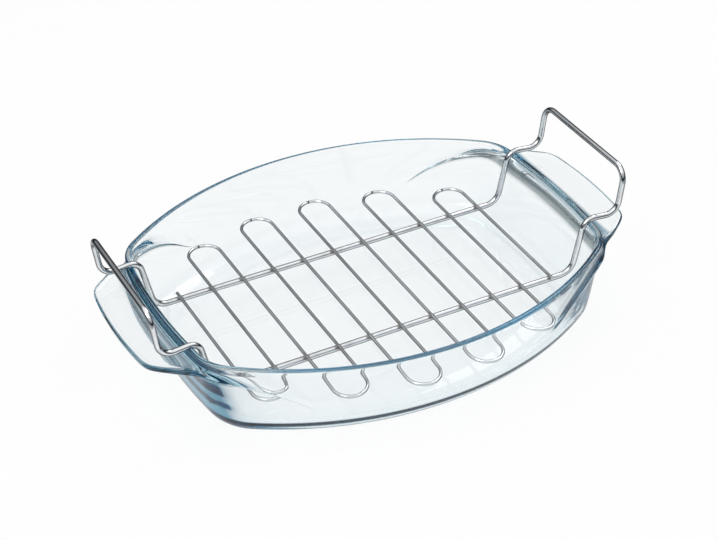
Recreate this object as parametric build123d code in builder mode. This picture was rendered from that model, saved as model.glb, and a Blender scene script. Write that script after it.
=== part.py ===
from build123d import *

import os
from math import atan2, cos, sin, sqrt, tan

# An oval glass roasting dish with a handle moulded on each end, and a chrome wire rack that hangs in it
# by its own two wire handles. Millimetres, +X along the dish, +Z up, origin on the table under the
# centre of the dish.

# Glass
wall = 4.6
floor_thickness = 5.0
dish_height = 63.5
lip_share = 0.46

# Outside outline at the rim, of two side arcs, two end arcs and four corner arcs
rim_half_length = 164.6
rim_half_width = 136.1
rim_side_radius = 237.6
rim_end_radius = 467.6
rim_corner_radius = 34.6

# The walls lean in by these drafts from the rim to the table, and the outline changes its radii on the way
end_draft = 10.6
side_draft = 11.1
base_side_radius = 250.0
base_end_radius = 460.0
base_corner_radius = 42.0
foot_radius = 16.0

# Hollow under the floor, inside the ring that the dish stands on
ring_width = 7.0
ring_depth = 0.8

# Glass handles: a flat slab with a raised bead round its edge, and an underside that flares into the wall.
# The flanks of a handle leave the rim's side arcs where these end, at a share of the rim's half length
handle_reach = 30.9
handle_bow = 4.5
handle_half_width = 53.4
handle_corner_radius = 12.0
handle_root_share = 0.76
handle_drop = 5.8
handle_thickness = 5.0
handle_edge_share = 0.36
bead_width = 4.5
bead_height = 0.7
flare_reach = 7.4
flare_depth = 7.0

# Raised band under each handle, which sweeps down the side walls to a point
swoosh_thickness = 1.6
swoosh_width = 10.0
swoosh_drop = 1.7
swoosh_top_bulge = 5.0
swoosh_bottom_bulge = 3.5
swoosh_tip_share = 0.61
swoosh_root_share = 0.91
swoosh_height_share = 0.37

# Frame wire of the rack, one closed loop: two rails, four hooks over the rim and two hand grips. The hooks
# lie on the rim's end arcs, the rail inset away from where these run into the corners
frame_diameter = 4.5
rail_inset = 8.3
hook_height = 43.4
riser_run = 9.5
shelf_run = 27.8
shelf_fall = 3.0
grip_rise = 35.4
grip_run = 4.7
rail_bend_radius = 12.0
hook_bend_radius = 9.2
shelf_bend_radius = 10.6
grip_bend_radius = 11.0
hook_past_rim = 1.6
seat_clearance = 0.25

# Grid wire of the rack, one length bent to and fro across the rails. Its runs fill the rails between end
# gaps. The reach of each loop, from the end of the rack to its middle, is a share of the dish's inside
# half width there
grid_diameter = 2.4
grid_end_gap = 19.0
grid_tail = 4.0
weld_sink = 0.3
loop_reach_shares = (0.886, 0.974, 0.935, 0.980, 0.970)

base_half_length = rim_half_length - end_draft
base_half_width = rim_half_width - side_draft
rim_size = (rim_half_length, rim_half_width, rim_side_radius, rim_end_radius, rim_corner_radius)
base_size = (base_half_length, base_half_width, base_side_radius, base_end_radius, base_corner_radius)


def tangent_points(size, inset):
    """Where the arcs of an outline meet in its first quarter, and the middle of the corner arc."""
    half_length, half_width, side_radius, end_radius, corner_radius = (value - inset for value in size)
    side_centre = Vector(0, half_width - side_radius)
    end_centre = Vector(half_length - end_radius, 0)
    # A corner arc touches both neighbours, so its centre lies at a known distance from each of theirs
    to_side = side_radius - corner_radius
    to_end = end_radius - corner_radius
    span = side_centre - end_centre
    along = (to_end**2 - to_side**2 + span.length**2) / (2 * span.length)
    across = sqrt(to_end**2 - along**2)
    way = span.normalized()
    centre = end_centre + way * along + Vector(-way.Y, way.X) * across
    side_way = (centre - side_centre).normalized()
    end_way = (centre - end_centre).normalized()
    middle = centre + (side_way + end_way).normalized() * corner_radius
    return side_centre + side_way * side_radius, middle, end_centre + end_way * end_radius


def oval(size, inset):
    """Outline of eight tangent arcs, drawn in by the inset all round."""
    half_length, half_width = size[0] - inset, size[1] - inset
    side, middle, end = tangent_points(size, inset)
    with BuildSketch() as outline:
        with BuildLine():
            for turn in (1, -1):
                ThreePointArc((end.X * turn, -end.Y * turn), (half_length * turn, 0), end * turn)
                ThreePointArc(end * turn, middle * turn, side * turn)
                ThreePointArc(side * turn, (0, half_width * turn), (-side.X * turn, side.Y * turn))
                ThreePointArc(
                    (-side.X * turn, side.Y * turn),
                    (-middle.X * turn, middle.Y * turn),
                    (-end.X * turn, end.Y * turn),
                )
        make_face()
    return outline.sketch


def walls(inset):
    """Solid from the table to the rim, with leaning walls, drawn in by the inset all round."""
    with BuildPart() as body:
        with BuildSketch(Plane.XY):
            add(oval(base_size, inset))
        with BuildSketch(Plane.XY.offset(dish_height)):
            add(oval(rim_size, inset))
        loft(ruled=True)
    return body.part


# Inside of the dish
with BuildPart() as cavity:
    add(walls(wall))
    split(bisect_by=Plane.XY.offset(floor_thickness))
    fillet(cavity.faces().sort_by(Axis.Z)[0].edges(), foot_radius - wall)

# Right handle, cut from a block by its outline from above and its profile from the side
handle_x = rim_half_length + handle_reach
handle_corner_x = handle_x - handle_bow
root_x = handle_root_share * rim_half_length
root_y = rim_half_width - rim_side_radius + sqrt((rim_side_radius - wall / 2) ** 2 - root_x**2)
handle_top = dish_height - handle_drop
handle_under = handle_top - handle_thickness
handle_middle = handle_top - handle_thickness / 2
flare_x = rim_half_length + flare_reach
flare_end_x = rim_half_length - wall
flare_bottom = handle_under - flare_depth
with BuildPart() as handle:
    with BuildSketch(Plane.XY.offset(handle_top)) as handle_outline:
        with BuildLine():
            Line((root_x, -root_y), (root_x, root_y))
            Line((root_x, root_y), (handle_corner_x, handle_half_width))
            ThreePointArc(
                (handle_corner_x, handle_half_width),
                (handle_x, 0),
                (handle_corner_x, -handle_half_width),
            )
            Line((handle_corner_x, -handle_half_width), (root_x, -root_y))
        make_face()
        fillet(handle_outline.vertices().group_by(Axis.X)[-1], handle_corner_radius)
    extrude(amount=flare_bottom - handle_top)
    with BuildSketch(Plane.XZ):
        with BuildLine():
            Polyline(
                (flare_x, handle_under),
                (handle_x, handle_under),
                (handle_x, handle_top),
                (root_x, handle_top),
                (root_x, flare_bottom),
                (flare_end_x, flare_bottom),
            )
            TangentArc((flare_x, handle_under), (flare_end_x, flare_bottom), tangent=(-1, 0))
        make_face()
    extrude(amount=rim_half_width, both=True, mode=Mode.INTERSECT)
    # The edges that a hand meets are rounded, on top and, with the flare, below
    handle_edge_radius = handle_edge_share * handle_thickness
    fillet(handle.faces().sort_by(Axis.Z)[-1].edges().sort_by(Axis.X)[1:], handle_edge_radius)
    low_edges = handle.edges().filter_by(lambda edge: edge.bounding_box().max.Z < handle_middle)
    fillet(low_edges.filter_by(Axis.Y, reverse=True), handle_edge_radius)
    with BuildSketch(Plane.XY.offset(handle_top)):
        add(handle_outline.sketch)
        offset(amount=-bead_width)
    extrude(amount=-bead_height, mode=Mode.SUBTRACT)

# Right swoosh, a thin layer on the walls, kept only inside a crescent drawn from the side
swoosh_top = handle_top - swoosh_drop
swoosh_tip_point = (swoosh_tip_share * rim_half_length, swoosh_height_share * dish_height)
swoosh_top_point = (swoosh_root_share * rim_half_length, swoosh_top)
swoosh_bottom_point = (swoosh_root_share * rim_half_length, swoosh_top - swoosh_width)
with BuildPart() as swoosh:
    add(walls(-swoosh_thickness))
    with BuildSketch(Plane.XZ):
        with BuildLine():
            SagittaArc(swoosh_tip_point, swoosh_top_point, swoosh_top_bulge)
            Polyline(
                swoosh_top_point,
                (handle_x, swoosh_top),
                (handle_x, swoosh_top - swoosh_width),
                swoosh_bottom_point,
            )
            SagittaArc(swoosh_bottom_point, swoosh_tip_point, swoosh_bottom_bulge)
        make_face()
    extrude(amount=handle_x, both=True, mode=Mode.INTERSECT)

# Glass dish, pressed in one piece
lip_radius = lip_share * wall
with BuildPart() as glass_dish:
    add(walls(0))
    fillet(glass_dish.faces().sort_by(Axis.Z)[0].edges(), foot_radius)
    for feature in (handle.part, swoosh.part):
        add(feature)
        add(mirror(feature, about=Plane.YZ))
    add(cavity.part, mode=Mode.SUBTRACT)
    fillet(glass_dish.faces().sort_by(Axis.Z)[-1].edges(), lip_radius)
    with BuildSketch(Plane.XY):
        add(oval(base_size, foot_radius + ring_width))
    extrude(amount=ring_depth, mode=Mode.SUBTRACT)
print("glass dish", glass_dish.part.is_valid, round(glass_dish.part.volume), len(glass_dish.solids()))

# The frame wire crosses the rim over the middle of its lip, which nests inside the hook's bend. The bend,
# the lip and the clearance between them set the height of the rack
frame_radius = frame_diameter / 2
rail_y = tangent_points(rim_size, wall / 2)[2].Y - rail_inset
crossing_x = rim_half_length - rim_end_radius + sqrt((rim_end_radius - wall / 2) ** 2 - rail_y**2)
shelf_angle = atan2(shelf_fall, shelf_run)
hook_tangent = hook_bend_radius * tan((atan2(hook_height, riser_run) + shelf_angle) / 2)
nest = hook_bend_radius - frame_radius - lip_radius - seat_clearance
bend_x = crossing_x + hook_past_rim
bend_z = dish_height - lip_radius - sqrt(nest**2 - hook_past_rim**2)
hook_x = bend_x - hook_tangent * cos(shelf_angle) + hook_bend_radius * sin(shelf_angle)
hook_z = bend_z + hook_tangent * sin(shelf_angle) + hook_bend_radius * cos(shelf_angle)

# Frame wire: one half of the loop, from the middle of a rail round a hand grip to the middle of the other
rail_z = hook_z - hook_height
shelf_x = hook_x + shelf_run
shelf_z = hook_z - shelf_fall
bends = [
    (hook_x - riser_run, rail_z, rail_bend_radius),
    (hook_x, hook_z, hook_bend_radius),
    (shelf_x, shelf_z, shelf_bend_radius),
    (shelf_x + grip_run, shelf_z + grip_rise, grip_bend_radius),
]
with BuildPart() as frame_wire:
    with BuildLine() as loop:
        out = [(x, rail_y, z) for x, z, radius in bends]
        back = [(x, -rail_y, z) for x, z, radius in reversed(bends)]
        points = [(0, rail_y, rail_z)] + out + back + [(0, -rail_y, rail_z)]
        radii = [radius for x, z, radius in bends]
        FilletPolyline(points, radius=radii + radii[::-1])
    with BuildSketch(Plane(origin=(0, rail_y, rail_z), z_dir=(1, 0, 0))):
        Circle(frame_radius)
    sweep(path=loop.wires()[0])
    mirror(about=Plane.YZ)
print("frame wire", frame_wire.part.is_valid, round(frame_wire.part.volume), len(frame_wire.solids()))

# Grid wire: straight runs across the rails, joined by half-round loops at alternate ends. Its loops stay
# inside the glass, so they follow the inner side arc at the height of the grid
grid_z = rail_z + frame_radius + grid_diameter / 2 - weld_sink
grid_depth = 1 - grid_z / dish_height
inner_half_width = rim_half_width - side_draft * grid_depth - wall
inner_side_radius = rim_side_radius + (base_side_radius - rim_side_radius) * grid_depth - wall
loop_shares = loop_reach_shares + loop_reach_shares[::-1]
first_x = riser_run + grid_end_gap - hook_x
grid_pitch = -2 * first_x / len(loop_shares)
loop_radius = grid_pitch / 2
tail_y = rail_y + grid_tail
with BuildPart() as grid_wire:
    with BuildLine(Plane.XY.offset(grid_z)) as serpentine:
        start_y = tail_y
        for index, share in enumerate(loop_shares):
            side = 1 if index % 2 else -1
            run_x = first_x + index * grid_pitch
            loop_x = run_x + loop_radius
            glass_y = inner_half_width - inner_side_radius + sqrt(inner_side_radius**2 - loop_x**2)
            tip_y = share * glass_y - grid_diameter / 2
            loop_y = side * (tip_y - loop_radius)
            Line((run_x, start_y), (run_x, loop_y))
            ThreePointArc((run_x, loop_y), (loop_x, side * tip_y), (run_x + grid_pitch, loop_y))
            start_y = loop_y
        Line((-first_x, start_y), (-first_x, -tail_y))
    with BuildSketch(Plane(origin=(first_x, tail_y, grid_z), z_dir=(0, -1, 0))):
        Circle(grid_diameter / 2)
    sweep(path=serpentine.wires()[0])
print("grid wire", grid_wire.part.is_valid, round(grid_wire.part.volume), len(grid_wire.solids()))

os.makedirs("parts", exist_ok=True)
for name, piece in (("glass_dish", glass_dish), ("frame_wire", frame_wire), ("grid_wire", grid_wire)):
    piece.part.label = name
    export_step(piece.part, f"parts/{name}.step")
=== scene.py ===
import math
import bpy
from mathutils import Matrix, Vector


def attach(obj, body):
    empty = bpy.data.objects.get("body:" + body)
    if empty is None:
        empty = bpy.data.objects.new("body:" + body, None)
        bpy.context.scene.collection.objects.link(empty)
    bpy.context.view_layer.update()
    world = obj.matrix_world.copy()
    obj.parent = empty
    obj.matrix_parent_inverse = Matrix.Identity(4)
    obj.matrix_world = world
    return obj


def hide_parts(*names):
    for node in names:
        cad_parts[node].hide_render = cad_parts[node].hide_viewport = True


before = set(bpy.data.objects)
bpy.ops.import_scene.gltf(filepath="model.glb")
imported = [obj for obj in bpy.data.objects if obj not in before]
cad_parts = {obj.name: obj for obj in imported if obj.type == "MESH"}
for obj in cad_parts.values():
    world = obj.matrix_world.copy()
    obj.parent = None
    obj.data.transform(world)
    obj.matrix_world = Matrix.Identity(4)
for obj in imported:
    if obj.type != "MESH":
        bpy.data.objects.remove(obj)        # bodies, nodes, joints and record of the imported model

scene = bpy.context.scene
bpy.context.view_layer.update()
perMetre = 1000        # the dish and the rack are written in millimetres


# Helpers for node trees
def fill(tree, socket, value):        # links the socket to another node's output, or sets its value
    if isinstance(value, bpy.types.NodeSocket):
        tree.links.new(value, socket)
    else:
        socket.default_value = value


def addNode(tree, kind, inputs=None, **settings):        # settings come first, as they decide its sockets
    node = tree.nodes.new(kind)
    for name, value in settings.items():
        setattr(node, name, value)
    for name, value in (inputs or {}).items():
        fill(tree, node.inputs[name], value)
    return node


def addMath(tree, kind, *values):
    return addNode(tree, "ShaderNodeMath", dict(enumerate(values)), operation=kind).outputs[0]


def addFade(tree, value, reach, ends=(0, 1), kind="LINEAR"):        # from one end to the other over a reach
    names = ("Value", "From Min", "From Max", "To Min", "To Max")
    inputs = dict(zip(names, (value, *reach, *ends)))
    return addNode(tree, "ShaderNodeMapRange", inputs, interpolation_type=kind).outputs["Result"]


def addMix(tree, share, first, second):        # a blend of two colours
    inputs = {"Factor": share, "A": first, "B": second}
    return addNode(tree, "ShaderNodeMix", inputs, data_type="RGBA").outputs["Result"]


def newGroup(name, kind, inputs, outputs):        # a node group with named sockets, and its two ends
    tree = bpy.data.node_groups.new(name, kind)
    for way, sockets in (("INPUT", inputs), ("OUTPUT", outputs)):
        for title, sort in sockets.items():
            tree.interface.new_socket(name=title, in_out=way, socket_type="NodeSocket" + sort)
    return tree, tree.nodes.new("NodeGroupInput").outputs, tree.nodes.new("NodeGroupOutput").inputs


def newMaterial(name):
    material = bpy.data.materials.new(name)
    material.use_nodes = True
    material.node_tree.nodes.clear()
    return material, material.node_tree


# Camera, in metres and degrees: it stands to the left of the dish and looks down on its near side
view = {
    "lens": 93.9,
    "sensor": 36,
    "azimuth": -26.87,
    "elevation": 35.31,
    "roll": -1.0,
    "place": (-0.5067, -0.9888, 0.8278),
}


def makeCamera(size):
    azimuth, elevation, roll = (math.radians(size[name]) for name in ("azimuth", "elevation", "roll"))
    level = math.cos(elevation)
    back = Vector((math.sin(azimuth) * level, -math.cos(azimuth) * level, math.sin(elevation)))
    right = Vector((math.cos(azimuth), math.sin(azimuth), 0))
    up = back.cross(right)
    turned = Matrix((
        right * math.cos(roll) + up * math.sin(roll),
        up * math.cos(roll) - right * math.sin(roll),
        back,
    )).transposed()
    data = bpy.data.cameras.new("camera")
    data.lens = size["lens"]
    data.sensor_width = size["sensor"]
    cameraObject = bpy.data.objects.new("camera", data)
    scene.collection.objects.link(cameraObject)
    cameraObject.matrix_world = Matrix.Translation(size["place"]) @ turned.to_4x4()
    scene.camera = cameraObject


makeCamera(view)
print("camera placed")


# Light, in metres: two soft boxes, a pale floor and a world that metal and glass see as a darker studio
white = (1, 1, 1, 1)
studio = {
    "bounces": 160,        # light that runs inside the glass needs many
    "floorSide": 6.0,
    "floorDrop": 0.0002,
    "floorColor": (0.88, 0.88, 0.88, 1),
    "floorGlow": 0.85,        # share of the floor's look that is plain white, the rest shows the shadow
    "worldStrength": 0.75,
    "mirrorStops": (        # heights and colours that metal and glass mirror, from the horizon up
        (0.0, (0.01, 0.012, 0.015, 1)), (0.16, (0.02, 0.022, 0.025, 1)), (0.32, (0.20, 0.21, 0.22, 1)),
        (0.50, (0.50, 0.51, 0.52, 1)), (0.66, (0.56, 0.57, 0.58, 1)), (0.74, white), (1.0, white),
    ),
    "glassStops": (        # the same for what is seen through glass
        (0.0, (0.30, 0.36, 0.40, 1)), (0.25, (0.38, 0.44, 0.48, 1)), (0.5, (0.55, 0.60, 0.63, 1)),
        (0.72, (0.95, 0.97, 0.98, 1)), (1.0, white),
    ),
    "whiteReach": (0.24, 0.46),        # how far out metal and glass see the floor white, and from where dark
    "farColor": (0.24, 0.29, 0.32, 1),
    "boxes": [
        {"place": (-0.9, -0.5, 1.5), "side": 0.9, "power": 9},
        {"place": (1.1, 0.6, 1.3), "side": 0.8, "power": 6},
    ],
}


def rayMask(tree, *rays):        # 1 for the rays named, 0 for the others
    path = tree.nodes.new("ShaderNodeLightPath")
    total = path.outputs[rays[0]]
    for name in rays[1:]:
        total = addMath(tree, "MAXIMUM", total, path.outputs[name])
    return total


def makeFloor(size):
    half = size["floorSide"] / 2
    mesh = bpy.data.meshes.new("floor")
    corners = [(-half, -half, 0), (half, -half, 0), (half, half, 0), (-half, half, 0)]
    mesh.from_pydata(corners, [], [(0, 1, 2, 3)])
    floor = bpy.data.objects.new("floor", mesh)
    floor.location.z = -size["floorDrop"]
    scene.collection.objects.link(floor)
    material, tree = newMaterial("floorPaper")
    place = tree.nodes.new("ShaderNodeTexCoord")
    away = addNode(tree, "ShaderNodeVectorMath", {0: place.outputs["Object"]}, operation="LENGTH")
    far = addFade(tree, away.outputs["Value"], size["whiteReach"], kind="SMOOTHSTEP")
    unseen = addMath(tree, "SUBTRACT", 1, rayMask(tree, "Is Camera Ray"))        # the camera sees it even
    shade = addMix(tree, addMath(tree, "MULTIPLY", far, unseen), white, size["farColor"])
    seen = rayMask(tree, "Is Glossy Ray", "Is Transmission Ray", "Is Camera Ray")
    paper = addNode(tree, "ShaderNodeBsdfDiffuse", {"Color": size["floorColor"]})
    glow = addNode(tree, "ShaderNodeEmission", {"Color": shade})
    share = addMath(tree, "MULTIPLY", seen, size["floorGlow"])
    look = addNode(tree, "ShaderNodeMixShader", {0: share, 1: paper.outputs[0], 2: glow.outputs[0]})
    addNode(tree, "ShaderNodeOutputMaterial", {"Surface": look.outputs[0]})
    mesh.materials.append(material)


def heightGlow(tree, stops):        # a background whose colour changes from the horizon up
    coordinates = tree.nodes.new("ShaderNodeTexCoord")
    split = addNode(tree, "ShaderNodeSeparateXYZ", {0: coordinates.outputs["Generated"]})
    ramp = addNode(tree, "ShaderNodeValToRGB", {"Fac": split.outputs["Z"]})
    elements = ramp.color_ramp.elements
    elements[0].position, elements[0].color = stops[0]
    elements[1].position, elements[1].color = stops[-1]
    for place, color in stops[1:-1]:
        elements.new(place).color = color
    return addNode(tree, "ShaderNodeBackground", {"Color": ramp.outputs["Color"]}).outputs[0]


def makeWorld(size):
    world = bpy.data.worlds.new("studio")
    scene.world = world
    world.use_nodes = True
    tree = world.node_tree
    tree.nodes.clear()
    plain = addNode(tree, "ShaderNodeBackground", {"Color": white, "Strength": size["worldStrength"]})
    backdrop = addNode(tree, "ShaderNodeBackground", {"Color": white})
    light = plain.outputs[0]
    for ray, other in (
        ("Is Glossy Ray", heightGlow(tree, size["mirrorStops"])),
        ("Is Transmission Ray", heightGlow(tree, size["glassStops"])),
        ("Is Camera Ray", backdrop.outputs[0]),
    ):
        light = addNode(tree, "ShaderNodeMixShader", {0: rayMask(tree, ray), 1: light, 2: other}).outputs[0]
    addNode(tree, "ShaderNodeOutputWorld", {"Surface": light})


def makeSoftBoxes(size):
    for number, box in enumerate(size["boxes"]):
        lamp = bpy.data.lights.new(f"softBox{number}", "AREA")
        lamp.shape = "SQUARE"
        lamp.size = box["side"]
        lamp.energy = box["power"]
        holder = bpy.data.objects.new(lamp.name, lamp)
        scene.collection.objects.link(holder)
        place = Vector(box["place"])
        holder.matrix_world = Matrix.Translation(place) @ place.to_track_quat("Z", "Y").to_matrix().to_4x4()


makeFloor(studio)
makeWorld(studio)
makeSoftBoxes(studio)
scene.view_settings.view_transform = "Standard"
scene.cycles.max_bounces = studio["bounces"]
scene.cycles.transmission_bounces = studio["bounces"]
scene.cycles.glossy_bounces = studio["bounces"]
print("studio lit")


# Glass dish, in millimetres: an oval of side, end and corner arcs that grows from the table to the rim
dish = {
    "height": 63.5,
    "wall": 4.6,
    "floorTop": 5.0,
    "rim": {"length": 164.6, "width": 136.1, "side": 237.6, "end": 467.6, "corner": 34.6},
    "base": {"length": 154.0, "width": 125.0, "side": 250.0, "end": 460.0, "corner": 42.0},
    "footBends": (2.5, 10.0),        # inside, at the floor and at the wall
    "footBendSteps": (3, 5),
    "footSlope": 30.0,
    "footRun": 8.1,
    "leanHeights": (10, 20),        # between which the lean of the inside wall is taken
    "endSwell": 5.5,        # how much thicker the end walls are at the table than at the rim
    "sideSwell": 1.6,        # and the side walls
    "swellPlaces": (1.2, 2.3),        # where along the quarter one becomes the other
    "outsideFoot": 16.0,
    "outsideFootSteps": 7,
    "lipPower": 0.75,        # below 1 the lip is flatter than a half circle
    "lipRelief": 0.12,
    "lipSteps": 8,
    "ring": ((21.5, 0), (23.0, 0.03), (25.0, 0.18), (29.0, 0.62), (31.0, 0.77)),        # insets and heights
    "ringEnd": 32.5,
    "hollow": 0.8,
    "columns": {"end": 10, "corner": 9, "side": 21},        # in one quarter of the oval
    "floorRings": (0.25, 0.5, 0.7, 0.85, 0.95),
    "innerHeights": (26.0, 33.0, 40.0, 47.0, 53.0, 58.0),
    "wallShares": (0.33, 0.67),        # rows between the ledge and the foot
    "handleTip": 195.38,
    "handleBow": 319.0,
    "handleCorner": 12.0,
    "handleTop": 57.0,
    # rows of a handle as distances out of the wall and heights
    "handleRoot": ((0, 59.3), (0.25, 58.0), (1.0, 57.25), (2.6, 57.0)),
    "handleFlare": ((11.0, 52.3), (5.5, 50.9), (2.0, 48.6), (0.4, 46.2), (0, 44.0)),
    # and as distances in from its edge and heights
    "handleBead": ((5.4, 57.0), (4.9, 57.08), (4.5, 57.6), (4.0, 57.7), (1.3, 57.68)),
    "handleEdge": ((0.3, 57.2), (0, 56.1), (0.05, 53.9), (1.0, 52.75)),
    "handleUnder": (0.55, 52.7),        # share of its reach, and height
    "handleInset": 5.0,        # width of the bead, which the middle of the top leaves out
    "leastReach": 0.1,
    "turnReach": (2.4, 8.0),        # reach over which a handle's rows turn away from the wall's direction
    "blendReach": (3.0, 14.0),        # and over which the ledge becomes a handle
    "ledgeTip": (100.4, 23.5),        # along the dish and up, where the ledge under a handle runs out
    "ledgeRoot": (149.8, 49.5),        # the same where it leaves the handle
    "ledgeBulge": 4.6,
    "ledgeDepth": 3.6,
    "ledgePower": 0.8,        # how its depth grows from the tip
    "ledgeSlope": 0.55,        # rise of its lower face for each step out
    "ledgeRise": 13.0,        # how far above its edge the wall starts to swell
    "ledgeTop": 57.6,
    "ledgeGap": 0.1,
    "ledgeAbove": (1.2, 0.5),        # rows on the plain wall over it
    "ledgeBelow": 0.5,        # and under it
    "slopeSteps": 9,
    "slopePower": 1.5,
    "faceShares": (0.05, 0.15, 0.35, 0.6, 0.82, 0.95, 1),        # rows down its lower face
    "flareRows": 3,        # the last of them also lie on a handle's flare
    "underShadeDepth": (0.2, 0.9),        # depth over which the lower face gets its painted shade
    "plainPlace": 40.0,        # along the dish, where the rows have parted on the plain wall
    "plainBottom": 20.0,
    "plainSpread": 8.0,
}


def smooth(value, low, high):        # 0 at the low end, 1 at the high one
    share = max(0.0, min(1.0, (value - low) / (high - low)))
    return share * share * (3 - 2 * share)


def spot(plan, level):        # a point of the plan, at a height
    return plan.x, plan.y, level


def ovalArcs(size, inset):        # centres, radii and angles of the arcs in the first quarter, end arc first
    names = ("length", "width", "side", "end", "corner")
    length, width, side, end, corner = (size[name] - inset for name in names)
    sideCentre = Vector((0, width - side))
    endCentre = Vector((length - end, 0))
    toSide, toEnd = side - corner, end - corner
    span = sideCentre - endCentre
    along = (toEnd ** 2 - toSide ** 2 + span.length ** 2) / (2 * span.length)
    across = math.sqrt(toEnd ** 2 - along ** 2)
    way = span.normalized()
    centre = endCentre + way * along + Vector((-way.y, way.x)) * across
    endAngle = math.atan2(*reversed(centre - endCentre))
    sideAngle = math.atan2(*reversed(centre - sideCentre))
    return (
        (endCentre, end, 0, endAngle),
        (centre, corner, endAngle, sideAngle),
        (sideCentre, side, sideAngle, math.pi / 2),
    )


def arcAt(size, inset, place):        # place is the arc's number plus the share of it that is passed
    number = min(int(place), 2)
    centre, radius, start, stop = ovalArcs(size, inset)[number]
    angle = start + (stop - start) * (place - number)
    return centre, radius, Vector((math.cos(angle), math.sin(angle)))


def ovalPoint(size, inset, place):
    centre, radius, way = arcAt(size, inset, place)
    return centre + way * radius


def ovalNormal(place):
    return arcAt(dish["rim"], 0, place)[2]


def wallPoint(place, height, inset):
    low = ovalPoint(dish["base"], inset, place)
    high = ovalPoint(dish["rim"], inset, place)
    return low.lerp(high, height / dish["height"])


def insidePoint(place, height):        # the inside face draws in towards the floor, most of all at the ends
    swell = dish["endSwell"] + (dish["sideSwell"] - dish["endSwell"]) * smooth(place, *dish["swellPlaces"])
    swell *= 1 - height / dish["height"]
    return wallPoint(place, height, dish["wall"]) - ovalNormal(place) * swell


def handleEdge(passed):        # point of its edge at a share of the half length, from the tip to the wall
    sideCentre, sideRadius, flankAngle = ovalArcs(dish["rim"], 0)[2][:3]
    normal = Vector((math.cos(flankAngle), math.sin(flankAngle)))
    leave = sideCentre + normal * sideRadius
    way = Vector((normal.y, -normal.x))
    bowCentre = Vector((dish["handleTip"] - dish["handleBow"], 0))
    start = leave - normal * dish["handleCorner"] - bowCentre
    half = start.dot(way)
    reach = (dish["handleBow"] - dish["handleCorner"]) ** 2 - start.length_squared
    flank = math.sqrt(half ** 2 + reach) - half
    cornerCentre = bowCentre + start + way * flank
    bowAngle = math.atan2(*reversed(cornerCentre - bowCentre))
    bow = bowAngle * dish["handleBow"]
    corner = (flankAngle - bowAngle) * dish["handleCorner"]
    distance = passed * (bow + corner + flank)
    if distance < bow:
        angle = distance / dish["handleBow"]
        return bowCentre + Vector((math.cos(angle), math.sin(angle))) * dish["handleBow"]
    if distance < bow + corner:
        angle = bowAngle + (distance - bow) / dish["handleCorner"]
        return cornerCentre + Vector((math.cos(angle), math.sin(angle))) * dish["handleCorner"]
    return leave + way * (bow + corner + flank - distance)


def arcBetween(low, high, bulge, along):        # height at a place along an arc through two points
    (lowX, lowZ), (highX, highZ) = low, high
    chord = math.hypot(highX - lowX, highZ - lowZ)
    radius = (chord ** 2 / 4 + bulge ** 2) / (2 * bulge)
    share = (radius - bulge) / chord
    centreX = (lowX + highX) / 2 + (highZ - lowZ) * share
    centreZ = (lowZ + highZ) / 2 - (highX - lowX) * share
    return centreZ + math.sqrt(max(radius ** 2 - (along - centreX) ** 2, 0))


def handleRows(reach):        # distances out of the wall and heights, over a handle and back under it
    middle = max((reach - dish["handleInset"]) / 2, dish["leastReach"])
    top = [*dish["handleRoot"], (middle, dish["handleTop"])]
    top += [(reach - inward, level) for inward, level in dish["handleBead"]]
    rows = []
    out = 0.0
    for distance, level in top:
        out = max(out, min(distance, reach))
        rows.append((out, level))
    rows += [(max(reach - inward, 0.0), level) for inward, level in dish["handleEdge"]]
    limit = rows[-1][0]
    share, underLevel = dish["handleUnder"]
    for distance, level in ((share * reach, underLevel), *dish["handleFlare"]):
        limit = min(limit, distance)
        rows.append((limit, level))
    return rows


def ledgeRows(along):        # a long slope out of the wall and a short flat face below it, and their depth
    tip, root = dish["ledgeTip"], dish["ledgeRoot"]
    onLedge = max(tip[0], min(root[0], along))
    grown = ((onLedge - tip[0]) / (root[0] - tip[0])) ** dish["ledgePower"]
    depth = dish["ledgeDepth"] * min(1.0, grown)
    spread = 1 - smooth(along, dish["plainPlace"], tip[0])
    bottom = arcBetween(tip, root, dish["ledgeBulge"], onLedge)
    bottom += (dish["plainBottom"] - bottom) * spread
    edge = bottom + dish["ledgeSlope"] * depth + dish["plainSpread"] * spread + dish["ledgeGap"]
    top = min(edge + dish["ledgeRise"], dish["ledgeTop"])
    steps = dish["slopeSteps"]
    rows = [(0, top + above) for above in dish["ledgeAbove"]]
    for step in range(steps + 1):
        rows.append((depth * (step / steps) ** dish["slopePower"], top + (edge - top) * step / steps))
    rows += [(depth * (1 - share), edge + (bottom - edge) * share) for share in dish["faceShares"]]
    rows.append((0, bottom - dish["ledgeBelow"]))
    return rows, depth


def insideFoot(place):        # from the floor up a short slope to the wall, with a bend at each end
    normal = ovalNormal(place)
    slope = math.radians(dish["footSlope"])
    low, high = dish["footBends"]
    lowSteps, highSteps = dish["footBendSteps"]
    bottom, top = dish["leanHeights"]
    lean = (insidePoint(place, top) - insidePoint(place, bottom)).dot(normal) / (top - bottom)
    line = []
    for step in range(lowSteps + 1):
        angle = slope * step / lowSteps
        line.append((low * math.sin(angle), low - low * math.cos(angle)))
    startX, startZ = line[-1]
    for run in (dish["footRun"] / 2, dish["footRun"]):
        line.append((startX + run * math.cos(slope), startZ + run * math.sin(slope)))
    centreX, centreZ = line[-1][0] - high * math.sin(slope), line[-1][1] + high * math.cos(slope)
    last = math.pi / 2 - math.atan(lean)
    for step in range(1, highSteps + 1):
        angle = slope + (last - slope) * step / highSteps
        line.append((centreX + high * math.sin(angle), centreZ - high * math.cos(angle)))
    endX, endZ = line[-1]
    points = []
    for along, up in line:
        level = dish["floorTop"] + up
        out = along - endX + lean * (endZ - up)
        points.append(spot(insidePoint(place, level) + normal * out, level))
    return points


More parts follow.
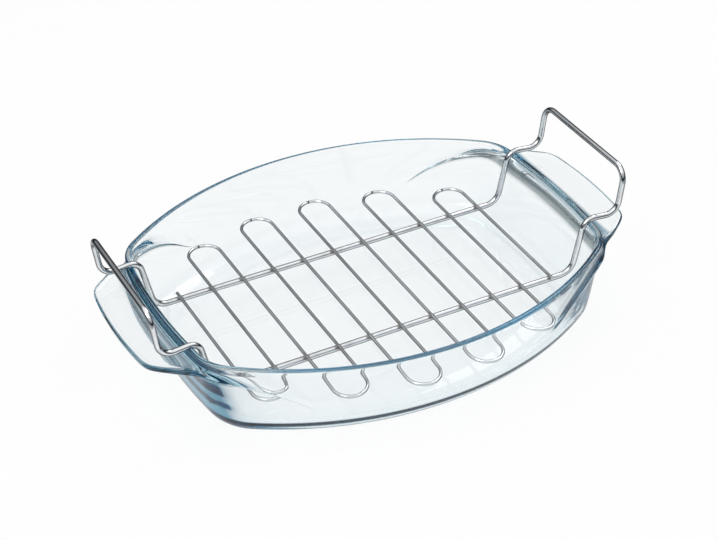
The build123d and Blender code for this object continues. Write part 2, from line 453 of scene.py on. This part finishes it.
def outsideFoot(place):        # from the wall down to the table
    radius, steps = dish["outsideFoot"], dish["outsideFootSteps"]
    normal = ovalNormal(place)
    lowPoint, highPoint = wallPoint(place, 0, 0), wallPoint(place, radius, 0)
    lean = (highPoint - lowPoint).dot(normal) / radius
    centreOut = lean * radius - radius * math.sqrt(1 + lean ** 2)
    stop = -math.atan(lean)
    points = []
    for step in range(steps + 1):
        angle = -math.pi / 2 + (stop + math.pi / 2) * step / steps
        level = radius + radius * math.sin(angle)
        out = centreOut + radius * math.cos(angle)
        plan = lowPoint + (highPoint - lowPoint) * (level / radius) + normal * (out - lean * level)
        points.append(spot(plan, level))
    return points[::-1]


def lipPoints(place):        # over the rim, from its inside to its outside
    half, power = dish["wall"] / 2, dish["lipPower"]
    points = []
    for step in range(dish["lipSteps"] + 1):
        angle = math.pi * (1 - step / dish["lipSteps"])
        level = dish["height"] - half + half * abs(math.sin(angle)) ** power
        across = math.copysign(abs(math.cos(angle)) ** power, math.cos(angle))
        points.append(spot(wallPoint(place, level, half - (half - dish["lipRelief"]) * across), level))
    return points


def outerRows(place, passed):        # ledge or handle: points, and each one's share of the painted shade on the lower face
    rows, depth = ledgeRows(wallPoint(place, dish["height"], 0).x)
    way = ovalNormal(place)
    blend = 0.0
    if passed <= 1:        # a handle stands out here
        out = handleEdge(passed) - wallPoint(place, dish["handleTop"], 0)
        reach = math.sqrt(out.length_squared + dish["ledgeDepth"] ** 2)
        way = way.lerp(out.normalized(), smooth(reach, *dish["turnReach"])).normalized()
        blend = smooth(reach, *dish["blendReach"])
        rows = [
            (low + (high - low) * blend, lowLevel + (highLevel - lowLevel) * blend)
            for (low, lowLevel), (high, highLevel) in zip(rows, handleRows(reach))
        ]
    # painted shade on the lower face under a ledge or handle, fuller where the ledge is deeper
    shown = smooth(depth, *dish["underShadeDepth"])
    face = len(rows) - 1 - len(dish["faceShares"])
    flare = len(rows) - 1 - dish["flareRows"]
    paintedShadeShares = [0.0] * face + [shown * (1 - blend)] * (flare - face) + [shown] * dish["flareRows"] + [0.0]
    return [spot(wallPoint(place, level, 0) + way * out, level) for out, level in rows], paintedShadeShares


def dishColumn(place, passed):        # a profile from the floor over the rim to the underside, and its zones: outer skin, and share of painted shade
    inside = insideFoot(place)
    points = [(inside[0][0] * share, inside[0][1] * share, dish["floorTop"]) for share in dish["floorRings"]]
    points += inside
    points += [spot(insidePoint(place, level), level) for level in dish["innerHeights"]]
    points += lipPoints(place)
    outer = len(points) - dish["lipSteps"] // 2        # the outer surface starts half way over the lip
    zones = [(0.0, 0.0, 0.0)] * outer + [(1.0, 0.0, 0.0)] * (len(points) - outer)
    rows, paintedShadeShares = outerRows(place, passed)
    points += rows
    # second value of each zone: share of painted shade on the lower face
    zones += [(1.0, shadeShare, 0.0) for shadeShare in paintedShadeShares]
    foot = outsideFoot(place)
    for share in dish["wallShares"]:
        level = rows[-1][2] + (foot[0][2] - rows[-1][2]) * share
        points.append(spot(wallPoint(place, level, 0), level))
    points += foot
    for inset, level in (*dish["ring"], (dish["ringEnd"], dish["hollow"])):
        points.append(spot(ovalPoint(dish["base"], inset, place), level))
    x, y = points[-1][:2]
    points += [(x * share, y * share, dish["hollow"]) for share in dish["floorRings"][::-1]]
    zones += [(1.0, 0.0, 0.0)] * (len(points) - len(zones))
    return points, zones


def quarterColumns():
    endArc, cornerArc, sideArc = ovalArcs(dish["rim"], 0)
    endLength = endArc[1] * endArc[3]
    cornerLength = cornerArc[1] * (cornerArc[3] - cornerArc[2])
    handleLength = endLength + cornerLength
    columns = []
    for number, name in enumerate(("end", "corner", "side")):
        for step in range(dish["columns"][name]):
            share = step / dish["columns"][name]
            passed = (share * endLength, endLength + share * cornerLength, handleLength + share)[number]
            columns.append(dishColumn(number + share, passed / handleLength))
    columns.append(dishColumn(3.0, 2.0))        # the middle of the side, well past the handle
    return columns


def makeDish():        # the quarter and its three mirror images, once round
    quarter, zones = (list(part) for part in zip(*quarterColumns()))
    across = [[(-x, y, z) for x, y, z in column] for column in quarter]
    columns = quarter + across[-2::-1]
    columns += [[(-x, -y, z) for x, y, z in column] for column in quarter[1:]]
    columns += [[(x, -y, z) for x, y, z in column] for column in quarter[-2:0:-1]]
    zones += zones[-2::-1] + zones[1:] + zones[-2:0:-1]
    rows = len(quarter[0])
    vertices = [tuple(value / perMetre for value in point) for column in columns for point in column]
    top, under = len(vertices), len(vertices) + 1
    vertices += [(0, 0, dish["floorTop"] / perMetre), (0, 0, dish["hollow"] / perMetre)]
    faces = []
    for number in range(len(columns)):
        here, there = number * rows, (number + 1) % len(columns) * rows
        faces.append((top, here, there))
        faces += [(here + row, here + row + 1, there + row + 1, there + row) for row in range(rows - 1)]
        faces.append((under, there + rows - 1, here + rows - 1))
    mesh = bpy.data.meshes.new("glassDish")
    mesh.from_pydata(vertices, [], faces)
    mesh.shade_smooth()
    flat = [value for column in zones for zone in column for value in zone]
    flat += [0.0, 0.0, 0.0, 1.0, 0.0, 0.0]        # the middle of the floor and of the underside
    mesh.attributes.new("zones", "FLOAT_VECTOR", "POINT").data.foreach_set("vector", flat)
    piece = bpy.data.objects.new("glassDish", mesh)
    scene.collection.objects.link(piece)
    finer = piece.modifiers.new("finer", "SUBSURF")
    finer.levels = finer.render_levels = 1
    return piece


glassDish = makeDish()
print("glass dish", len(glassDish.data.vertices))


# Wires of the rack, in millimetres
rack = {
    "frameThickness": 4.5,
    "frameSides": 28,
    "frameBends": (        # along the dish, up, and bend radius
        (144.09, 23.72, 12.0),        # rail
        (153.59, 67.12, 9.2),        # hook over the rim
        (181.39, 64.12, 10.6),        # shelf over the handle
        (186.09, 99.52, 11.0),        # grip
    ),
    "railWidth": 53.53,
    "gridThickness": 2.4,
    "gridSides": 20,
    "gridHeight": 26.871,
    "gridStart": -125.09,
    "gridPitch": 25.018,
    "gridTail": 4.0,
    # share of the way from the middle to the glass that each loop takes
    "gridReach": (0.886, 0.974, 0.935, 0.980, 0.970, 0.970, 0.980, 0.935, 0.974, 0.886),
    "glassHalfWidth": 125.1,
    "glassSide": 240.1,
    "bendSteps": 14,
    "weldSize": (3.7, 3.3, 2.2),
    "weldSegments": 16,
    "weldRings": 10,
    "weldSpread": 0.08,
    "weldSeed": 4,
}


def pathObject(name, points, bends, closed):        # a line of points with a bend radius at each
    mesh = bpy.data.meshes.new(name)
    edges = [(number, number + 1) for number in range(len(points) - 1)]
    if closed:
        edges.append((len(points) - 1, 0))
    mesh.from_pydata([[value / perMetre for value in point] for point in points], edges, [])
    radius = mesh.attributes.new("bend", "FLOAT", "POINT")
    radius.data.foreach_set("value", [bend / perMetre for bend in bends])
    piece = bpy.data.objects.new(name, mesh)
    scene.collection.objects.link(piece)
    return piece


def addCapture(tree, geometry, kind, name, value):        # keeps a value on the geometry under a name
    node = addNode(tree, "GeometryNodeCaptureAttribute", {"Geometry": geometry})
    node.capture_items.new(kind, name)
    fill(tree, node.inputs[name], value)
    return node.outputs


def startTree(name, sizes):        # a geometry tree with inputs for its sizes and its material
    inputs = {"Geometry": "Geometry", **sizes, "Material": "Material"}
    return newGroup(name, "GeometryNodeTree", inputs, {"Geometry": "Geometry"})


def endTree(tree, geometry, material, end):
    realized = addNode(tree, "GeometryNodeRealizeInstances", {0: geometry})
    painted = addNode(tree, "GeometryNodeSetMaterial", {
        "Geometry": realized.outputs[0], "Material": material,
    })
    fill(tree, end["Geometry"], painted.outputs[0])


def wireTree():        # bends the line's corners and gives it a round section
    tree, start, end = startTree("bentWire", {"Thickness": "Float", "Sides": "Int", "Bend Steps": "Int"})
    curve = addNode(tree, "GeometryNodeMeshToCurve", {"Mesh": start["Geometry"]})
    bend = addNode(tree, "GeometryNodeInputNamedAttribute", {"Name": "bend"})
    fillet = addNode(tree, "GeometryNodeFilletCurve", {
        0: curve.outputs[0], "Radius": bend.outputs["Attribute"],
        "Limit Radius": True, "Count": start["Bend Steps"],
    }, mode="POLY")
    tilt = addNode(tree, "GeometryNodeSetCurveNormal", {0: fillet.outputs[0]}, mode="MINIMUM_TWIST")
    parameter = tree.nodes.new("GeometryNodeSplineParameter")
    along = addCapture(tree, tilt.outputs[0], "FLOAT", "along", parameter.outputs["Length"])
    radius = addMath(tree, "MULTIPLY", start["Thickness"], 0.5)
    circle = addNode(tree, "GeometryNodeCurvePrimitiveCircle", {
        "Radius": radius, "Resolution": start["Sides"],
    })
    place = tree.nodes.new("GeometryNodeInputPosition")
    around = addCapture(tree, circle.outputs[0], "VECTOR", "around", place.outputs[0])
    skin = addNode(tree, "GeometryNodeCurveToMesh", {
        "Curve": along["Geometry"], "Profile Curve": around["Geometry"], "Fill Caps": True,
    })
    split = addNode(tree, "ShaderNodeSeparateXYZ", {0: around["around"]})
    join = addNode(tree, "ShaderNodeCombineXYZ", {
        "X": along["along"], "Y": split.outputs["X"], "Z": split.outputs["Y"],
    })
    store = addNode(tree, "GeometryNodeStoreNamedAttribute", {
        "Geometry": skin.outputs[0], "Name": "alongWire", "Value": join.outputs[0],
    }, data_type="FLOAT_VECTOR", domain="POINT")
    shade = addNode(tree, "GeometryNodeSetShadeSmooth", {0: store.outputs[0]})
    endTree(tree, shade.outputs[0], start["Material"], end)
    return tree


def weldTree(size):        # a small flattened bead on each point, each a little different
    tree, start, end = startTree("weldBeads", {"Bead Size": "Vector", "Spread": "Float", "Seed": "Int"})
    points = addNode(tree, "GeometryNodeMeshToPoints", {0: start["Geometry"]})
    ball = addNode(tree, "GeometryNodeMeshUVSphere", {
        "Segments": size["weldSegments"], "Rings": size["weldRings"], "Radius": 0.5,
    })
    shade = addNode(tree, "GeometryNodeSetShadeSmooth", {0: ball.outputs[0]})
    low = addMath(tree, "SUBTRACT", 1, start["Spread"])
    high = addMath(tree, "ADD", 1, start["Spread"])
    chance = addNode(tree, "FunctionNodeRandomValue", {
        "Min": low, "Max": high, "Seed": start["Seed"],
    }, data_type="FLOAT")
    scaled = addNode(tree, "ShaderNodeVectorMath", {
        0: start["Bead Size"], "Scale": chance.outputs["Value"],
    }, operation="SCALE")
    placed = addNode(tree, "GeometryNodeInstanceOnPoints", {
        "Points": points.outputs[0], "Instance": shade.outputs[0], "Scale": scaled.outputs[0],
    })
    endTree(tree, placed.outputs[0], start["Material"], end)
    return tree


def growMesh(piece, tree, values):        # runs the tree on the piece and keeps its result as a plain mesh
    modifier = piece.modifiers.new("grow", "NODES")
    modifier.node_group = tree
    for item in tree.interface.items_tree:
        if item.item_type == "SOCKET" and item.in_out == "INPUT" and item.name in values:
            modifier[item.identifier] = values[item.name]
    bpy.context.view_layer.update()
    shown = piece.evaluated_get(bpy.context.evaluated_depsgraph_get())
    grown = bpy.data.meshes.new_from_object(shown)
    piece.modifiers.remove(modifier)
    grown.name = piece.name
    piece.data = grown
    return piece


def framePath():
    quarter = [(x, rack["railWidth"], z, radius) for x, z, radius in rack["frameBends"]]
    right = quarter + [(x, -y, z, radius) for x, y, z, radius in quarter[::-1]]
    loop = right + [(-x, y, z, radius) for x, y, z, radius in right[::-1]]
    return [point[:3] for point in loop], [point[3] for point in loop]


def gridPath():
    height, pitch, side = rack["gridHeight"], rack["gridPitch"], rack["glassSide"]
    points = [(rack["gridStart"], rack["railWidth"] + rack["gridTail"], height)]
    bends = [0.0]
    for number, share in enumerate(rack["gridReach"]):
        way = 1 if number % 2 else -1
        runX = rack["gridStart"] + number * pitch
        glassY = rack["glassHalfWidth"] - side + math.sqrt(side ** 2 - (runX + pitch / 2) ** 2)
        tipY = way * (share * glassY - rack["gridThickness"] / 2)
        points += [(runX, tipY, height), (runX + pitch, tipY, height)]
        bends += [pitch / 2, pitch / 2]
    points.append((-rack["gridStart"], -rack["railWidth"] - rack["gridTail"], height))
    bends.append(0.0)
    return points, bends


def weldPlaces():
    level = rack["gridHeight"] - rack["gridThickness"] / 2
    return [
        (rack["gridStart"] + number * rack["gridPitch"], side * rack["railWidth"], level)
        for number in range(len(rack["gridReach"]) + 1) for side in (1, -1)
    ]


# Finishes; lengths in metres, pattern scales in patches for each metre
smudges = {
    "detail": 4,
    "grain": 0.62,
    "reach": (0.42, 0.72),        # noise values at which a patch starts and is full
    "waveDetail": 1.5,
}
finish = {
    "glassRoughness": (0.0, 0.02),        # clean and smudged
    "glassIor": 1.47,
    "glassTint": (0.42, 0.69, 0.78, 1),
    "glassDensity": 18.0,
    "glassShadow": (0.93, 0.95, 0.96, 1),
    "glassPatches": 24.0,
    "glassWaves": (0.06, 0.0012),        # strength and depth of the faint waves left by the mould
    "chromeColor": (0.84, 0.86, 0.88, 1),
    "chromeDull": (0.68, 0.69, 0.70, 1),
    "chromeRoughness": (0.03, 0.10),
    "chromeEdgeShade": (0.08, 0.085, 0.09, 1),        # painted dark shade towards the sides of a wire
    "edgeShadeFacing": (0.22, 0.54),
    "chromePatches": 55.0,
    "drawnLines": (40.0, 5200.0, 5200.0),        # along the wire and across it
    "drawnDetail": 3,
    "drawnDepth": (0.07, 0.00002),
    "heatColor": (0.30, 0.285, 0.27, 1),
    "heatReach": (0.0014, 0.0042),
    "heatRoughness": 0.2,
    "weldColor": (0.36, 0.35, 0.35, 1),
    "weldRoughness": (0.25, 0.48),
    "weldPatches": 900.0,
    "weldPits": (0.5, 0.0002),
}
# Painted shade in the glass's colour: colour, zone (X outer skin, Y share of painted shade on lower faces),
# and where each limit starts and is full
glassPaintedShades = (
    {        # painted blue shade on the thick end walls, where light enters at a low angle
        "tint": (0.03, 0.14, 0.23, 1), "zone": "X",
        "limits": (("facing", 0.28, 0.46), ("along", 0.120, 0.144), ("along", 0.1705, 0.1675)),
    },
    {        # painted dark blue shade on the outer half of the lip at both ends
        "tint": (0.012, 0.05, 0.12, 1), "zone": "X",
        "limits": (
            ("facing", 0.27, 0.31), ("facing", 0.68, 0.62), ("along", 0.130, 0.148), ("along", 0.172, 0.168),
            ("up", 0.0573, 0.0580),
        ),
    },
    {        # painted shadow along the line where the wall bends into the base, the shadow under the foot seen through the glass
        "tint": (0.004, 0.009, 0.016, 1), "zone": "X",
        "limits": (("facing", 0.27, 0.32), ("up", 0.0090, 0.0104), ("up", 0.0147, 0.0136)),
    },
    {        # painted dark shade along the base's outline below that line
        "tint": (0.03, 0.05, 0.06, 1), "zone": "X",
        "limits": (("facing", 0.66, 0.76), ("up", 0.0084, 0.0076)),
    },
    {        # painted shade on the short lower face under the ledges and handles
        "tint": (0.13, 0.155, 0.16, 1), "zone": "Y", "limits": (),
    },
)


def marksGroup(size):        # smudges and slight unevenness, which glass, chrome and welds share
    inputs = {"Vector": "Vector", "Patches": "Float", "Clean": "Float", "Marked": "Float"}
    outputs = {"Roughness": "Float", "Mask": "Float", "Height": "Float"}
    tree, start, end = newGroup("surfaceMarks", "ShaderNodeTree", inputs, outputs)
    patches = addNode(tree, "ShaderNodeTexNoise", {
        "Vector": start["Vector"], "Scale": start["Patches"],
        "Detail": size["detail"], "Roughness": size["grain"],
    })
    waves = addNode(tree, "ShaderNodeTexNoise", {
        "Vector": start["Vector"], "Scale": start["Patches"], "Detail": size["waveDetail"],
    })
    mask = addFade(tree, patches.outputs["Fac"], size["reach"], kind="SMOOTHSTEP")
    fill(tree, end["Roughness"], addFade(tree, mask, (0, 1), (start["Clean"], start["Marked"])))
    fill(tree, end["Mask"], mask)
    fill(tree, end["Height"], waves.outputs["Fac"])
    return tree


def addMarks(tree, group, vector, patches, roughness):        # roughness of clean and of marked places
    inputs = {"Vector": vector, "Patches": patches, "Clean": roughness[0], "Marked": roughness[1]}
    return addNode(tree, "ShaderNodeGroup", inputs, node_tree=group).outputs


def addBump(tree, height, depth):
    inputs = {"Height": height, "Strength": depth[0], "Distance": depth[1]}
    return addNode(tree, "ShaderNodeBump", inputs).outputs[0]


def weldHeatGroup():        # 1 at each crossing of grid and rail, 0 a few millimetres away
    inputs = {"Vector": "Vector"}
    inputs.update({name: "Float" for name in ("Start", "Half Pitch", "Rail", "Level", "Near", "Far")})
    tree, start, end = newGroup("weldHeat", "ShaderNodeTree", inputs, {"Mask": "Float"})
    split = addNode(tree, "ShaderNodeSeparateXYZ", {0: start["Vector"]})
    fromStart = addMath(tree, "SUBTRACT", split.outputs["X"], start["Start"])
    across = addMath(tree, "ABSOLUTE", split.outputs["Y"])
    join = addNode(tree, "ShaderNodeCombineXYZ", {
        "X": addMath(tree, "PINGPONG", fromStart, start["Half Pitch"]),
        "Y": addMath(tree, "SUBTRACT", across, start["Rail"]),
        "Z": addMath(tree, "SUBTRACT", split.outputs["Z"], start["Level"]),
    })
    away = addNode(tree, "ShaderNodeVectorMath", {0: join.outputs[0]}, operation="LENGTH")
    reach = (start["Near"], start["Far"])
    fill(tree, end["Mask"], addFade(tree, away.outputs["Value"], reach, (1, 0), "SMOOTHSTEP"))
    return tree


def glassMaterial(size, paintedShades, marksTree):
    material, tree = newMaterial("clearGlass")
    place = tree.nodes.new("ShaderNodeTexCoord").outputs["Object"]
    marks = addMarks(tree, marksTree, place, size["glassPatches"], size["glassRoughness"])
    facing = tree.nodes.new("ShaderNodeLayerWeight")
    split = addNode(tree, "ShaderNodeSeparateXYZ", {0: place})
    zones = addNode(tree, "ShaderNodeAttribute", attribute_name="zones")
    zone = addNode(tree, "ShaderNodeSeparateXYZ", {0: zones.outputs["Vector"]})
    places = {
        "facing": facing.outputs["Facing"],
        "along": addMath(tree, "ABSOLUTE", split.outputs["X"]),
        "up": split.outputs["Z"],
    }
    # each layer mixes painted shade into the glass's colour, by facing, place along the dish and height
    color = white
    for shadeLayer in paintedShades:
        share = zone.outputs[shadeLayer["zone"]]
        for name, start, full in shadeLayer["limits"]:
            share = addMath(tree, "MULTIPLY", share, addFade(tree, places[name], (start, full)))
        color = addMix(tree, share, color, shadeLayer["tint"])
    glass = addNode(tree, "ShaderNodeBsdfPrincipled", {
        "Base Color": color, "Transmission Weight": 1, "IOR": size["glassIor"],
        "Roughness": marks["Roughness"], "Normal": addBump(tree, marks["Height"], size["glassWaves"]),
    })
    through = addNode(tree, "ShaderNodeBsdfTransparent", {"Color": size["glassShadow"]})
    path = tree.nodes.new("ShaderNodeLightPath")
    look = addNode(tree, "ShaderNodeMixShader", {
        0: path.outputs["Is Shadow Ray"], 1: glass.outputs[0], 2: through.outputs[0],
    })
    tint = addNode(tree, "ShaderNodeVolumeAbsorption", {
        "Color": size["glassTint"], "Density": size["glassDensity"],
    })
    addNode(tree, "ShaderNodeOutputMaterial", {"Surface": look.outputs[0], "Volume": tint.outputs[0]})
    return material


def chromeMaterial(size, marksTree, heatTree):        # bright plating over drawn wire, duller by the welds, with painted shade along each wire's sides
    material, tree = newMaterial("chromeWire")
    place = tree.nodes.new("ShaderNodeTexCoord").outputs["Object"]
    marks = addMarks(tree, marksTree, place, size["chromePatches"], size["chromeRoughness"])
    along = addNode(tree, "ShaderNodeAttribute", attribute_name="alongWire")
    stretch = addNode(tree, "ShaderNodeMapping", {
        "Vector": along.outputs["Vector"], "Scale": size["drawnLines"],
    })
    lines = addNode(tree, "ShaderNodeTexNoise", {
        "Vector": stretch.outputs[0], "Scale": 1, "Detail": size["drawnDetail"],
    })
    level = rack["gridHeight"] - rack["gridThickness"] / 2
    heat = addNode(tree, "ShaderNodeGroup", {
        "Vector": place, "Start": rack["gridStart"] / perMetre,
        "Half Pitch": rack["gridPitch"] / 2 / perMetre,
        "Rail": rack["railWidth"] / perMetre, "Level": level / perMetre,
        "Near": size["heatReach"][0], "Far": size["heatReach"][1],
    }, node_tree=heatTree).outputs["Mask"]
    # painted shade: the base colour turns dark towards the sides of each wire, where it faces away
    facing = tree.nodes.new("ShaderNodeLayerWeight")
    side = addFade(tree, facing.outputs["Facing"], size["edgeShadeFacing"])
    worn = addMix(tree, marks["Mask"], size["chromeColor"], size["chromeDull"])
    edgeShaded = addMix(tree, side, worn, size["chromeEdgeShade"])
    metal = addNode(tree, "ShaderNodeBsdfPrincipled", {
        "Base Color": addMix(tree, heat, edgeShaded, size["heatColor"]), "Metallic": 1,
        "Roughness": addMath(tree, "MULTIPLY_ADD", heat, size["heatRoughness"], marks["Roughness"]),
        "Normal": addBump(tree, lines.outputs["Fac"], size["drawnDepth"]),
    })
    addNode(tree, "ShaderNodeOutputMaterial", {"Surface": metal.outputs[0]})
    return material


def weldMaterial(size, marksTree):
    material, tree = newMaterial("weldMetal")
    place = tree.nodes.new("ShaderNodeTexCoord").outputs["Object"]
    marks = addMarks(tree, marksTree, place, size["weldPatches"], size["weldRoughness"])
    metal = addNode(tree, "ShaderNodeBsdfPrincipled", {
        "Base Color": addMix(tree, marks["Mask"], size["weldColor"], size["heatColor"]), "Metallic": 1,
        "Roughness": marks["Roughness"], "Normal": addBump(tree, marks["Height"], size["weldPits"]),
    })
    addNode(tree, "ShaderNodeOutputMaterial", {"Surface": metal.outputs[0]})
    return material


surfaceMarks = marksGroup(smudges)
clearGlass = glassMaterial(finish, glassPaintedShades, surfaceMarks)
chromeWire = chromeMaterial(finish, surfaceMarks, weldHeatGroup())
weldMetal = weldMaterial(finish, surfaceMarks)
glassDish.data.materials.append(clearGlass)
print("materials made")

bentWire = wireTree()
points, bends = framePath()
frameWire = growMesh(pathObject("frameWire", points, bends, True), bentWire, {
    "Thickness": rack["frameThickness"] / perMetre, "Sides": rack["frameSides"],
    "Bend Steps": rack["bendSteps"], "Material": chromeWire,
})
points, bends = gridPath()
gridWire = growMesh(pathObject("gridWire", points, bends, False), bentWire, {
    "Thickness": rack["gridThickness"] / perMetre, "Sides": rack["gridSides"],
    "Bend Steps": rack["bendSteps"], "Material": chromeWire,
})
places = weldPlaces()
welds = growMesh(pathObject("gridWelds", places, [0.0] * len(places), False), weldTree(rack), {
    "Bead Size": tuple(value / perMetre for value in rack["weldSize"]),
    "Spread": rack["weldSpread"], "Seed": rack["weldSeed"], "Material": weldMetal,
})
print("wires", len(frameWire.data.vertices), len(gridWire.data.vertices), len(welds.data.vertices))

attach(glassDish, "dish")
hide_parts("glass_dish")
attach(frameWire, "rack")
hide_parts("frame_wire")
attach(gridWire, "rack")
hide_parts("grid_wire")
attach(welds, "rack")
